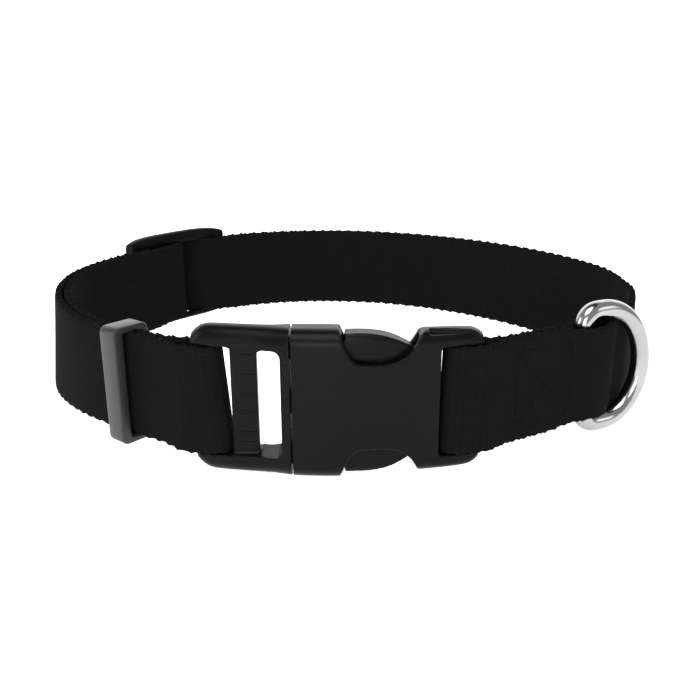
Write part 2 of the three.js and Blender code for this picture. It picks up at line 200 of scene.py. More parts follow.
def blend(tree, first, second, share):
    # a colour between two, by a share that another node gives
    node = addNode(tree, "ShaderNodeMix", {"data_type": "RGBA", 6: linear(first), 7: linear(second)},
                   {0: share})
    return node.outputs[2]


def bumpFrom(tree, height, strength, distance):
    node = addNode(tree, "ShaderNodeBump", {"Strength": strength, "Distance": distance}, {"Height": height})
    return node.outputs[0]


def softEdge(tree, value, low, high, start, end):
    # goes smoothly from start to end while the value goes from low to high
    node = addNode(tree, "ShaderNodeMapRange", {"interpolation_type": "SMOOTHSTEP", "From Min": low,
                                                "From Max": high, "To Min": start, "To Max": end},
                   {"Value": value})
    return node.outputs[0]


def closeMaterial(tree, settings, links):
    shader = addNode(tree, "ShaderNodeBsdfPrincipled", settings, links)
    addNode(tree, "ShaderNodeOutputMaterial", links={"Surface": shader.outputs["BSDF"]})


def paintedPaper():
    # matt studio paper, lit a little from below: even and pale, with a very slight mottle
    finish, tree = newMaterial("studioPaper")
    where = addNode(tree, "ShaderNodeTexCoord").outputs["Object"]
    mottle = noise(tree, where, 6.0, 2.0)
    tone = blend(tree, studioSet["floor"], studioSet["floorMottle"], mottle)
    closeMaterial(tree, {"Roughness": 1.0, "Specular IOR Level": 0.0,
                         "Emission Strength": studioSet["floorGlow"]},
                  {"Base Color": tone, "Emission Color": tone})
    return finish


def makeStudio():
    world = bpy.context.scene.world or bpy.data.worlds.new("studio")
    bpy.context.scene.world = world
    world.use_nodes = True
    tree = world.node_tree
    back = tree.nodes["Background"]
    where = addNode(tree, "ShaderNodeTexCoord")
    split = addNode(tree, "ShaderNodeSeparateXYZ", links={0: where.outputs["Generated"]})
    high, start, end = split.outputs["Z"], studioSet["gapFrom"], studioSet["gapTo"]
    rise = softEdge(tree, high, start - studioSet["gapEaseIn"], start, 0.0, 1.0)
    fall = softEdge(tree, high, end, end + studioSet["gapEaseOut"], 1.0, 0.0)
    gap = addNode(tree, "ShaderNodeMath", {"operation": "MULTIPLY"}, {0: rise, 1: fall})
    tone = blend(tree, studioSet["world"], studioSet["ceilingGap"], gap.outputs[0])
    path = addNode(tree, "ShaderNodeLightPath")
    seen = addNode(tree, "ShaderNodeMix", {"data_type": "RGBA", 7: [studioSet["seenWhite"]] * 3 + [1.0]},
                   {0: path.outputs["Is Camera Ray"], 6: tone})
    tree.links.new(seen.outputs[2], back.inputs["Color"])
    back.inputs["Strength"].default_value = studioSet["worldStrength"]
    bpy.context.scene.view_settings.view_transform = "Standard"  # keeps the paper white and the webbing black
    deselectAll()
    reach = studioSet["floorReach"]
    bpy.ops.mesh.primitive_plane_add(size=2 * reach, location=(0, studioSet["wallAt"] - reach, 0))
    floor = bpy.context.object
    floor.name = "floor"
    bpy.ops.object.transform_apply(location=True)
    nearWall = studioSet["wallAt"] - 0.01
    selectEdges(floor, lambda start, end: min(start.y, end.y) > nearWall)
    bpy.ops.mesh.extrude_edges_move(TRANSFORM_OT_translate={"value": (0, 0, studioSet["wallHigh"])})
    selectEdges(floor, lambda start, end: min(start.y, end.y) > nearWall and max(start.z, end.z) < 0.01)
    bpy.ops.mesh.bevel(offset=studioSet["cove"], segments=studioSet["coveSteps"])
    bpy.ops.object.mode_set(mode="OBJECT")
    bpy.ops.object.shade_smooth()
    floor.data.materials.append(paintedPaper())
    for name, at, aim, size, power in studioSet["lamps"]:
        bpy.ops.object.light_add(type="AREA", location=at)
        lamp = bpy.context.object
        lamp.name = name
        lamp.data.shape = "SQUARE"
        lamp.data.size = size
        lamp.data.energy = power
        lamp.rotation_euler = (Vector(aim) - Vector(at)).to_track_quat("-Z", "Y").to_euler()
    print("studio and lamps stand")


makeCamera()
makeStudio()


# Materials

def wovenNylon():
    # nylon webbing, loom woven: dull black yarn in offset rows, the crowns painted a little lighter than the
    # hollows as painted light and shade, no shine
    finish, tree = newMaterial("wovenNylon")
    waveRepeat = 0.314  # a wave texture of scale 1 repeats every 2 pi / 20
    where = addNode(tree, "ShaderNodeUVMap", {"uv_map": "strapMap"})
    scaled = addNode(tree, "ShaderNodeMapping", {"Scale": (1000, 1000, 1000)},
                     {"Vector": where.outputs["UV"]}).outputs[0]

    def yarnWave(direction, pitch):
        node = addNode(tree, "ShaderNodeTexWave", {"wave_type": "BANDS", "bands_direction": direction,
                                                   "wave_profile": "SIN", "Scale": waveRepeat / pitch,
                                                   "Distortion": 0.8, "Detail": 1.0, "Detail Scale": 1.5},
                       {"Vector": scaled})
        return node.outputs["Fac"]

    ribs = yarnWave("X", 1.32)  # one float along the strap
    rows = yarnWave("Y", 0.98)  # one yarn across it
    floats = addNode(tree, "ShaderNodeMath", {"operation": "MULTIPLY"}, {0: ribs, 1: rows}).outputs[0]
    fibre = noise(tree, scaled, 5.0, 4.0, Roughness=0.7)
    patches = noise(tree, scaled, 0.07, 2.0)
    height = addNode(tree, "ShaderNodeMath", {"operation": "MULTIPLY_ADD", 1: 0.4}, {0: fibre, 2: floats})
    bump = bumpFrom(tree, height.outputs[0], 0.3, 0.00018)
    # painted light and shade: the weave's raised crowns are painted lighter and the hollows between them
    # darker
    crownPaintedLight = blend(tree, "#0d0d0d", "#111111", floats)
    mixed = addNode(tree, "ShaderNodeMath", {"operation": "MULTIPLY", 1: 0.35}, {0: patches})
    tone = addNode(tree, "ShaderNodeMix", {"data_type": "RGBA", 7: linear("#111111")},
                   {0: mixed.outputs[0], 6: crownPaintedLight})
    closeMaterial(tree, {"Roughness": 0.95, "Specular IOR Level": 0.03},
                  {"Base Color": tone.outputs[2], "Normal": bump})
    return finish


def mouldedPlastic(name, dark, light, rough, gloss, grit, coarse):
    # injection moulded and lightly textured: soft shine on the rounded edges, a fine even grit between them
    finish, tree = newMaterial(name)
    where = addNode(tree, "ShaderNodeTexCoord").outputs["Object"]
    grain = noise(tree, where, 1 / (grit * mm), 3.0, Roughness=0.6)
    flow = noise(tree, where, 1 / (coarse * mm), 2.0, Distortion=0.4)
    bump = bumpFrom(tree, grain, 0.35, 0.00004)
    tone = blend(tree, dark, light, flow)
    shine = addNode(tree, "ShaderNodeMapRange", {"To Min": rough - 0.06, "To Max": rough + 0.08},
                    {"Value": flow})
    closeMaterial(tree, {"IOR": 1.48, "Specular IOR Level": gloss},
                  {"Base Color": tone, "Roughness": shine.outputs[0], "Normal": bump})
    return finish


def nickelPlate():
    # steel wire, tumbled and nickel plated: nearly a mirror, with faint drawing lines and small dull spots
    finish, tree = newMaterial("nickelPlate")
    where = addNode(tree, "ShaderNodeTexCoord").outputs["Object"]
    lines = noise(tree, where, 900.0, 3.0)
    spots = noise(tree, where, 140.0, 2.0)
    bump = bumpFrom(tree, lines, 0.12, 0.00003)
    tone = blend(tree, "#a0a0a0", "#939393", spots)
    shine = addNode(tree, "ShaderNodeMapRange", {"To Min": 0.12, "To Max": 0.24}, {"Value": spots})
    closeMaterial(tree, {"Metallic": 1.0},
                  {"Base Color": tone, "Roughness": shine.outputs[0], "Normal": bump})
    return finish


def bondedThread():
    # bonded nylon sewing thread: black, smoother than the webbing, so it catches a little more light
    finish, tree = newMaterial("bondedThread")
    where = addNode(tree, "ShaderNodeTexCoord").outputs["Object"]
    twist = addNode(tree, "ShaderNodeTexWave",
                    {"Scale": 600.0, "Distortion": 2.0, "bands_direction": "DIAGONAL"},
                    {"Vector": where}).outputs["Fac"]
    bump = bumpFrom(tree, twist, 0.4, 0.00006)
    # painted light and shade: the thread is painted lighter on the twist's ridges and darker between them
    tone = blend(tree, "#090909", "#0e0e0e", twist)
    closeMaterial(tree, {"Roughness": 0.9, "Specular IOR Level": 0.03},
                  {"Base Color": tone, "Normal": bump})
    return finish


webFinish = wovenNylon()
buckleFinish = mouldedPlastic("mouldedAcetal", "#060606", "#0a0a0a", 0.29, 0.082, 0.12, 9.0)
slideFinish = mouldedPlastic("mouldedNylon", "#080808", "#0c0c0c", 0.45, 0.06, 0.15, 7.0)
# the keeper band's base is painted a lighter grey than the slide's, as painted light for the lamp light it
# catches; its higher gloss is real shine
keeperPaintedLightFinish = mouldedPlastic("polishedNylonPaintedLighter", "#212121", "#272727", 0.36, 0.30, 0.15, 6.0)
ringFinish = nickelPlate()
threadFinish = bondedThread()


# Webbing: one ribbon along its route, from the sewn inner end beside the D-ring to the sewn end on the slide

webbingSet = {
    "width": 25.4,
    "thick": 1.7,
    "edge": 0.8,  # how far the rounded edge reaches in
    "step": 0.53,  # a quarter of one bump along the edge
    "bump": 2.12,
    "bumpHigh": 0.36,
    "longBump": 5.6,  # slower waves of the edge
    "bumpDrift": (0.5, 3.1),
    "longShare": 0.8,
    "longDrift": (1.1, 7.3),
    "slideCalm": 0.4,  # how much lower the bumps are inside the slide
    "faces": 17,
    "edgeSteps": 6,
    "mapGap": 40,  # keeps the two faces apart on the weave's map
    "leanOut": 3.2,
    "frontSqueeze": 2.2,  # how much narrower it is there
    "ringSqueeze": 2.0,
    "slideSqueeze": 0.5,
    "foldSlant": 0.95,  # the fold at the male bar slants and the one at the socket leans
    "foldShift": 0.35,
    "foldLean": 0.3,
    "rightOut": 3.2,  # how far the right side bellies out behind the D-ring
    "loopWide": 146,
    "loopDeep": 130.6,
    "frontLine": -58,
    "plugFold": (-36, -29, -20, -18),  # starts, is whole, is still whole, has gone
    "socketFold": (16, 19.5, 26, 32),
    "bellyDeep": (-37, -17, -6, 30),
    "bellyWide": (45, 55),
}
strapRoute = [
    (61.20, -37.71), (60.13, -38.89), (58.83, -39.86), (57.29, -40.58), (55.70, -41.19), (54.21, -41.82),
    (52.94, -42.66), (51.75, -43.61), (50.64, -44.70), (49.69, -46.07), (48.78, -47.52), (47.77, -48.89),
    (46.56, -49.98), (45.20, -50.85), (43.84, -51.70), (42.46, -52.55), (41.08, -53.39), (39.70, -54.22),
    (38.31, -55.05), (36.92, -55.86), (35.52, -56.67), (34.11, -57.47), (32.70, -58.23), (31.16, -58.77),
    (29.54, -59.12), (27.93, -59.37), (26.49, -59.57), (25.57, -59.62), (23.70, -59.91), (22.11, -60.21),
    (21.30, -60.50), (20.62, -61.03), (20.13, -61.74), (19.89, -62.57), (19.92, -63.43), (20.21, -64.24),
    (20.74, -64.92), (21.45, -65.40), (22.27, -65.64), (23.13, -65.62), (24.73, -65.31), (26.05, -65.10),
    (28.28, -64.45), (29.82, -63.37), (31.11, -62.18), (32.37, -61.03), (33.68, -60.02), (35.10, -59.21),
    (36.51, -58.41), (37.92, -57.59), (39.32, -56.77), (40.72, -55.94), (42.12, -55.10), (43.51, -54.26),
    (44.89, -53.40), (46.27, -52.54), (47.64, -51.66), (49.15, -50.98), (50.84, -50.55), (52.59, -50.15),
    (54.26, -49.62), (55.74, -48.75), (57.08, -47.68), (58.27, -46.42), (59.18, -44.87), (59.92, -43.21),
    (60.65, -41.63), (61.59, -40.25), (62.70, -39.03), (65.80, -34.89), (68.07, -29.67), (69.34, -24.26),
    (70.03, -18.72), (70.21, -13.23), (70.37, -7.77), (70.31, -2.24), (69.65, 3.31), (68.21, 8.70),
    (66.26, 13.89), (63.91, 18.90), (61.18, 23.71), (58.05, 28.28), (54.55, 32.57), (50.78, 36.60),
    (46.79, 40.40), (42.61, 43.99), (38.23, 47.34), (33.68, 50.45), (28.97, 53.30), (24.08, 55.88),
    (19.04, 58.13), (13.85, 60.03), (8.53, 61.55), (3.10, 62.64), (-2.38, 63.33), (-7.90, 63.62),
    (-13.44, 63.50), (-18.95, 62.91), (-24.38, 61.82), (-29.71, 60.32), (-34.90, 58.38), (-39.90, 55.93),
    (-44.58, 52.88), (-45.39, 52.25), (-46.58, 51.27), (-47.97, 50.50), (-49.72, 50.08), (-51.71, 49.85),
    (-53.84, 49.68), (-55.97, 49.44), (-57.95, 49.02), (-59.63, 48.32), (-60.86, 47.24), (-61.88, 46.01),
    (-62.92, 44.72), (-63.95, 43.39), (-64.75, 41.90), (-65.06, 40.08), (-65.00, 38.05), (-64.73, 35.94),
    (-64.40, 33.85), (-64.16, 31.87), (-64.19, 30.10), (-64.65, 28.60), (-65.39, 27.26), (-67.25, 23.67),
    (-69.34, 19.21), (-71.31, 14.68), (-73.06, 10.05), (-74.48, 5.28), (-75.42, 0.35), (-75.81, -4.63),
    (-75.73, -9.61), (-75.20, -14.57), (-74.23, -19.46), (-72.84, -24.24), (-71.07, -28.89),
    (-68.92, -33.38), (-66.36, -37.67), (-63.38, -41.68), (-59.93, -45.33), (-56.16, -48.57),
    (-52.23, -51.57), (-48.20, -54.41), (-44.08, -57.11), (-40.65, -59.22), (-39.43, -60.11),
    (-38.29, -61.15), (-37.17, -62.27), (-35.99, -63.37), (-34.45, -64.38), (-32.35, -64.85),
    (-31.20, -65.07), (-29.74, -65.36), (-28.88, -65.39), (-28.05, -65.16), (-27.34, -64.69),
    (-26.80, -64.01), (-26.50, -63.20), (-26.47, -62.34), (-26.70, -61.52), (-27.18, -60.80),
    (-27.85, -60.27), (-28.66, -59.97), (-30.12, -59.67), (-31.89, -59.37), (-32.72, -59.34),
    (-33.90, -59.15), (-35.35, -58.88), (-36.84, -58.57), (-38.28, -58.14), (-39.62, -57.51),
    (-43.01, -55.42), (-47.07, -52.75), (-51.04, -49.94), (-54.89, -46.99), (-58.53, -43.83),
    (-61.78, -40.36), (-64.62, -36.51), (-67.06, -32.39), (-69.11, -28.05), (-70.79, -23.55),
    (-72.11, -18.94), (-73.02, -14.24), (-73.50, -9.47), (-73.56, -4.69), (-73.17, 0.06), (-72.27, 4.72),
    (-70.89, 9.31), (-69.18, 13.81), (-67.25, 18.26), (-65.18, 22.65), (-63.37, 26.16), (-62.68, 27.41),
    (-62.03, 28.68), (-61.45, 30.00), (-60.92, 31.35), (-60.42, 32.73), (-59.92, 34.13), (-59.39, 35.51),
    (-58.81, 36.88), (-58.16, 38.21), (-57.41, 39.48), (-56.55, 40.67), (-56.12, 41.41), (-55.95, 42.26),
    (-56.04, 43.11), (-56.39, 43.90), (-56.97, 44.54), (-57.71, 44.96), (-58.55, 45.14), (-59.41, 45.05),
    (-60.19, 44.70), (-60.83, 44.12), (-61.73, 41.18), (-62.50, 38.24), (-63.15, 35.32),
]
ringSet = {
    "at": (54.408, -45.660),
    "angle": 26.5,
    "wire": 4.2,
    "reach": 21.6,
    "lean": 2.1,  # how far its top stands back towards the buckle
    "half": 13.85,
    "arm": 0.34,
    "corner": 3.8,
    "cornerSteps": 8,
    "bowSteps": 60,
    "barBack": 0.5,
    "around": 28,
    "along": 200,
}
keeperSet = {
    "at": (-48.090, -53.273),
    "angle": 231.66,  # the way its front wall faces
    "wide": 5.0,
    "wall": 1.4,
    "front": 2.4,
    "back": 2.3,
    "deep": 9.0,
    "high": 26.6,
    "corner": 1.6,
    "edge": 0.35,
    "innerCorner": 0.6,
}
slideSet = {
    "rail": [(-44.55, 56.41), (-49.38, 52.47), (-52.73, 49.23), (-55.81, 45.85), (-58.69, 42.40),
             (-61.47, 38.74), (-64.03, 34.97), (-66.40, 31.08), (-68.59, 27.10)],
    "bars": [(-47.10, 54.40), (-58.69, 42.40), (-67.81, 28.57)],
    "angle": 231.07,  # along the strap at the middle bar
    "holds": 17.5,
    "holdEase": 3.4,
    "railHigh": 3.9,
    "lowRail": 1.6,
    "thick": 3.2,
    "arch": 1.4,
    "archPower": 6,
    "roundPower": 4.0,
    "inside": 12.1,
    "barSink": 1.2,
    "cuts": 31,
    "grain": 0.24,
    "smooth": 4,
}


def hermite(a, b, m, n, t):
    # smooth step from a to b that leaves with slope m and arrives with slope n
    return a * (2 * t ** 3 - 3 * t ** 2 + 1) + m * (t ** 3 - 2 * t ** 2 + t) \
        + b * (3 * t ** 2 - 2 * t ** 3) + n * (t ** 3 - t ** 2)


def lengthsOf(points):
    lengths = [0.0]
    for before, after in zip(points, points[1:]):
        lengths.append(lengths[-1] + (Vector(after) - Vector(before)).length)
    return lengths


holdReach = 14.7  # no fitting holds the strap further aside than this
routeLengths = lengthsOf(strapRoute)
strapLength = routeLengths[-1]


def slopeAt(index):
    low, high = max(index - 1, 0), min(index + 1, len(strapRoute) - 1)
    return (Vector(strapRoute[high]) - Vector(strapRoute[low])) / (routeLengths[high] - routeLengths[low])


def strapAt(at):
    # a point of the strap's middle line and its direction, by smooth steps between the route's points
    at = min(max(at, 0), strapLength)
    index = 0
    while index < len(strapRoute) - 2 and routeLengths[index + 1] < at:
        index += 1
    run = routeLengths[index + 1] - routeLengths[index]
    t = (at - routeLengths[index]) / run
    a, b = Vector(strapRoute[index]), Vector(strapRoute[index + 1])
    m, n = slopeAt(index) * run, slopeAt(index + 1) * run
    slope = a * (6 * t ** 2 - 6 * t) + m * (3 * t ** 2 - 4 * t + 1) \
        + b * (6 * t - 6 * t ** 2) + n * (3 * t ** 2 - 2 * t)
    return hermite(a, b, m, n, t), slope.normalized()


def within(value, span):
    # 1 inside a span of four places, falling smoothly to 0 at its ends
    start, whole, leave, gone = span
    return smoothStep(value, start, whole) * (1 - smoothStep(value, leave, gone))


def heldAt(x, y, centre, turn, low, high, ease):
    # 1 where a fitting holds the strap, 0 away from it
    across = (x - centre[0]) * math.cos(turn) + (y - centre[1]) * math.sin(turn)
    aside = abs((x - centre[0]) * math.sin(turn) - (y - centre[1]) * math.cos(turn))
    if aside > holdReach:
        return 0
    return smoothStep(across, low - ease, low) * (1 - smoothStep(across, high, high + ease))


def slideShare(x, y):
    return heldAt(x, y, slideSet["bars"][1], math.radians(slideSet["angle"]), -slideSet["holds"],
                  slideSet["holds"], slideSet["holdEase"])


def strapPoint(x, y, up):
    # the strap leans out at its lower left edge, and is narrower at the front, in the ring and in the slide
    wide, deep, strapWide = webbingSet["loopWide"], webbingSet["loopDeep"], webbingSet["width"]
    side = smoothStep(-x, 0.37 * wide, 0.50 * wide) \
        * (1 - smoothStep(abs(y + 0.08 * deep), 0.04 * deep, 0.30 * deep))
    ring = heldAt(x, y, ringSet["at"], math.radians(ringSet["angle"]), -ringSet["wire"] / 2,
                  0.7 * ringSet["reach"], 2.5 * ringSet["wire"])
    slide = slideShare(x, y)
    front = 1 - smoothStep(y, -0.4 * deep, -0.21 * deep)
    width = 1 - (webbingSet["frontSqueeze"] * front + webbingSet["ringSqueeze"] * ring
                 + webbingSet["slideSqueeze"] * slide) / strapWide
    atFront = 1 if y < webbingSet["frontLine"] else 0
    fold = within(x, webbingSet["plugFold"]) * atFront
    x -= webbingSet["leanOut"] * side * (0.5 - up / strapWide)
    x += fold * (webbingSet["foldShift"] - webbingSet["foldSlant"] * up * 2 / strapWide)
    socket = within(x, webbingSet["socketFold"]) * atFront
    x -= webbingSet["foldLean"] * socket * (1 - up * 2 / strapWide)
    belly = within(y, webbingSet["bellyDeep"]) * smoothStep(x, *webbingSet["bellyWide"])
    x += webbingSet["rightOut"] * belly * (0.8 - 0.5 * up / strapWide)
    return place(x, y, midHigh + width * up)


def strapSection():
    # offsets (out, up) once round the strap, its two faces flat and its edges rounded
    half, thick, edge = webbingSet["width"] / 2, webbingSet["thick"] / 2, webbingSet["edge"]
    count, steps = webbingSet["faces"], webbingSet["edgeSteps"]
    outer = [(thick, (half - edge) * (2 * step / count - 1)) for step in range(count + 1)]
    top = [(thick * math.cos(math.pi * step / steps), half - edge + edge * math.sin(math.pi * step / steps))
           for step in range(1, steps)]
    return outer + top + [(-out, -up) for out, up in outer] + [(-out, -up) for out, up in top]


def makeWebbing():
    section = strapSection()
    around = len(section)
    along = round(strapLength / webbingSet["step"])
    deselectAll()
    bpy.ops.mesh.primitive_grid_add(x_subdivisions=along, y_subdivisions=around, size=1)
    piece = bpy.context.object
    frames = [strapAt(strapLength * step / along) for step in range(along + 1)]
    halfInner = webbingSet["width"] / 2 - webbingSet["edge"]
    drift, driftLong = webbingSet["bumpDrift"]
    slow, slowLong = webbingSet["longDrift"]
    spots = []
    for vertex in piece.data.vertices:
        step = round((vertex.co.x + 0.5) * along)
        turn = round((vertex.co.y + 0.5) * around)
        spots.append((step, turn))
        point, direction = frames[step]
        out, up = section[turn % around]
        at = strapLength * step / along
        longTurn = 2 * math.pi * at / webbingSet["longBump"] + slow * math.sin(at / slowLong) + out
        wave = math.cos(2 * math.pi * at / webbingSet["bump"] + drift * math.sin(at / driftLong)) \
            + webbingSet["longShare"] * math.cos(longTurn)
        if abs(up) > halfInner + 0.01:
            wave *= 1 - webbingSet["slideCalm"] * slideShare(point.x, point.y)
            up += math.copysign(webbingSet["bumpHigh"] * wave, up)
        vertex.co = strapPoint(point.x + direction.y * out, point.y - direction.x * out, up)
    strapMap = piece.data.uv_layers[0]
    strapMap.name = "strapMap"
    for face in piece.data.polygons:
        shift = webbingSet["mapGap"] * any(spots[vertex][1] > around // 2 for vertex in face.vertices)
        for loop in face.loop_indices:
            step, turn = spots[piece.data.loops[loop].vertex_index]
            up = section[turn % around][1]
            strapMap.data[loop].uv = (strapLength * step / along * mm, (up + shift) * mm)
    pick(piece)
    bpy.ops.object.mode_set(mode="EDIT")
    bpy.ops.mesh.select_all(action="SELECT")
    bpy.ops.mesh.remove_doubles(threshold=2e-6)
    bpy.ops.mesh.select_all(action="DESELECT")
    bpy.ops.mesh.select_mode(type="VERT")
    bpy.ops.mesh.select_non_manifold()
    bpy.ops.mesh.fill()
    bpy.ops.mesh.select_all(action="SELECT")
    bpy.ops.mesh.normals_make_consistent(inside=False)
    bpy.ops.object.mode_set(mode="OBJECT")
    bpy.ops.object.shade_smooth_by_angle(angle=math.radians(50))
    hold(piece, "wovenStrap", "collar", "webbing", webFinish, "webbing")
    return piece


webbing = makeWebbing()


# D-ring: straight bar inside the strap, two short arms and a round bow, drawn as one closed wire

def ringLine():
    half = ringSet["half"]
    reach = ringSet["reach"] - ringSet["wire"]
    arm, corner = reach * ringSet["arm"], ringSet["corner"]
    steps, bow = ringSet["cornerSteps"], ringSet["bowSteps"]
    line = [(0.0, 0.0), (0.0, half - corner)]
    line += [(corner - corner * math.cos(a), half - corner + corner * math.sin(a))
             for a in (math.pi / 2 * step / steps for step in range(1, steps + 1))]
    line += [(arm + (reach - arm) * math.sin(a), half * math.cos(a))
             for a in (math.pi * step / bow for step in range(bow + 1))]
    line += [(corner - corner * math.cos(a), -half + corner - corner * math.sin(a))
             for a in (math.pi / 2 * step / steps for step in range(steps, -1, -1))]
    return line + [(0.0, 0.0)]


def makeRing():
    line = ringLine()
    lengths = lengthsOf(line)
    count = ringSet["along"]
    spots = []
    index = 0
    for step in range(count):
        at = lengths[-1] * step / count
        while lengths[index + 1] < at:
            index += 1
        share = (at - lengths[index]) / (lengths[index + 1] - lengths[index])
        spots.append(Vector(line[index]).lerp(Vector(line[index + 1]), share))
    deselectAll()
    bpy.ops.mesh.primitive_torus_add(major_segments=count, minor_segments=ringSet["around"], major_radius=1,
                                     minor_radius=0.2)
    piece = bpy.context.object
    turn = math.radians(ringSet["angle"])
    for vertex in piece.data.vertices:
        major = math.atan2(vertex.co.y, vertex.co.x) % (2 * math.pi)
        step = round(major / (2 * math.pi) * count) % count
        minor = math.atan2(vertex.co.z, math.hypot(vertex.co.x, vertex.co.y) - 1)
        tangent = (spots[(step + 1) % count] - spots[step - 1]).normalized()
        outwards = Vector((-tangent.y, tangent.x))
        spot = spots[step] + outwards * math.cos(minor) * ringSet["wire"] / 2
        spot.x -= ringSet["lean"] * (0.5 + spot.y / ringSet["half"] / 2) \
            + ringSet["barBack"] * (1 - spot.x / ringSet["reach"])
        aside = math.sin(minor) * ringSet["wire"] / 2
        vertex.co = place(ringSet["at"][0] + spot.x * math.cos(turn) - aside * math.sin(turn),
                          ringSet["at"][1] + spot.x * math.sin(turn) + aside * math.cos(turn),
                          midHigh + spot.y)
    turnOut(piece)
    bpy.ops.object.shade_smooth()
    hold(piece, "leashRing", "ring", "ring", ringFinish, "d_ring")


makeRing()


# Keeper loop: a moulded band round both layers

def roundedBlock(size, corner, steps):
    # a block whose long edges, along Y, are rounded
    deselectAll()
    bpy.ops.mesh.primitive_cube_add(size=1)
    piece = bpy.context.object
    piece.scale = [value * mm for value in size]
    bpy.ops.object.transform_apply(scale=True)
    selectEdges(piece, lambda start, end: abs(start.y - end.y) > 1e-5)
    bpy.ops.mesh.bevel(offset=corner * mm, segments=steps)
    bpy.ops.object.mode_set(mode="OBJECT")
    return piece


def makeKeeper():
    wall, front = keeperSet["wall"], keeperSet["front"]
    deep, wide, high = keeperSet["deep"], keeperSet["wide"], keeperSet["high"]
    piece = roundedBlock((deep, wide, high), keeperSet["corner"], 6)
    inner = roundedBlock((deep - wall - front, wide * 2, high - 2 * wall), keeperSet["innerCorner"], 3)
    inner.location.x = (wall - front) / 2 * mm
    cutAway(piece, inner)
    applyModifier(piece, "BEVEL", {"width": keeperSet["edge"] * mm, "segments": 3, "limit_method": "ANGLE",
                                   "angle_limit": math.radians(50)})
    shift = deep / 2 - wall - keeperSet["back"]
    middle = keeperSet["at"]
    turn = math.radians(keeperSet["angle"])
    piece.rotation_euler = (0, 0, turn)
    piece.location = place(middle[0] + shift * math.cos(turn), middle[1] + shift * math.sin(turn), midHigh)
    pick(piece)
    bpy.ops.object.transform_apply(location=True, rotation=True)
    bpy.ops.object.shade_smooth_by_angle(angle=math.radians(40))
    hold(piece, "keeperBand", "collar", "keeper", keeperPaintedLightFinish, "keeper_loop")


makeKeeper()


# Slide adjuster: two arched rails and three bars, moulded in one

def makeSlide():
    parts = []
    rail = slideSet["rail"]
    for side in (1, -1):
        deselectAll()
        bpy.ops.mesh.primitive_cylinder_add(vertices=24, radius=0.5, depth=1, end_fill_type="NGON",
                                            rotation=(0, math.pi / 2, 0))
        piece = bpy.context.object
        bpy.ops.object.transform_apply(rotation=True)
        ringCuts(piece, slideSet["cuts"])
        for vertex in piece.data.vertices:
            share = (vertex.co.x + 0.5) * (len(rail) - 1)
            index = min(int(share), len(rail) - 2)
            a, b = Vector(rail[index]), Vector(rail[index + 1])
            spot = a.lerp(b, share - index)
            tangent = (b - a).normalized()
            out, up = squared(vertex.co.y * 2, vertex.co.z * 2, slideSet["roundPower"])
            out *= slideSet["thick"] / 2
            railHigh = slideSet["railHigh"] if side > 0 else slideSet["lowRail"]
            drop = slideSet["arch"] * (2 * vertex.co.x) ** slideSet["archPower"]
            rise = slideSet["inside"] + railHigh / 2 - drop
            vertex.co = place(spot.x + tangent.y * out, spot.y - tangent.x * out,
                              midHigh + side * rise + up * railHigh / 2)
        turnOut(piece)
        parts.append(piece)
    barLong = 2 * slideSet["inside"] + slideSet["barSink"]
    for x, y in slideSet["bars"]:
        deselectAll()
        bpy.ops.mesh.primitive_cylinder_add(vertices=24, radius=slideSet["thick"] / 2 * mm, depth=barLong * mm,
                                            location=place(x, y, midHigh))
        parts.append(bpy.context.object)
        bpy.ops.object.transform_apply(location=True)
    piece = join(*parts)
    applyModifier(piece, "REMESH", {"mode": "VOXEL", "voxel_size": slideSet["grain"] * mm})
    applyModifier(piece, "SMOOTH", {"factor": 0.5, "iterations": slideSet["smooth"]})
    bpy.ops.object.shade_smooth()
    hold(piece, "slideFrame", "collar", "slide", slideFinish, "slide_adjuster")


def ringCuts(piece, cuts):
    # rings of edges across a cylinder that lies along X
    selectEdges(piece, lambda start, end: abs(start.x - end.x) > 0.5)
    bpy.ops.mesh.subdivide(number_cuts=cuts)
    bpy.ops.object.mode_set(mode="OBJECT")


def squared(across, up, power):
    # a point of the unit circle pushed out towards a square with soft corners
    reach = (abs(across) ** power + abs(up) ** power) ** (1 / power) or 1
    size = math.hypot(across, up)
    return across * size / reach, up * size / reach


makeSlide()


# Buckle

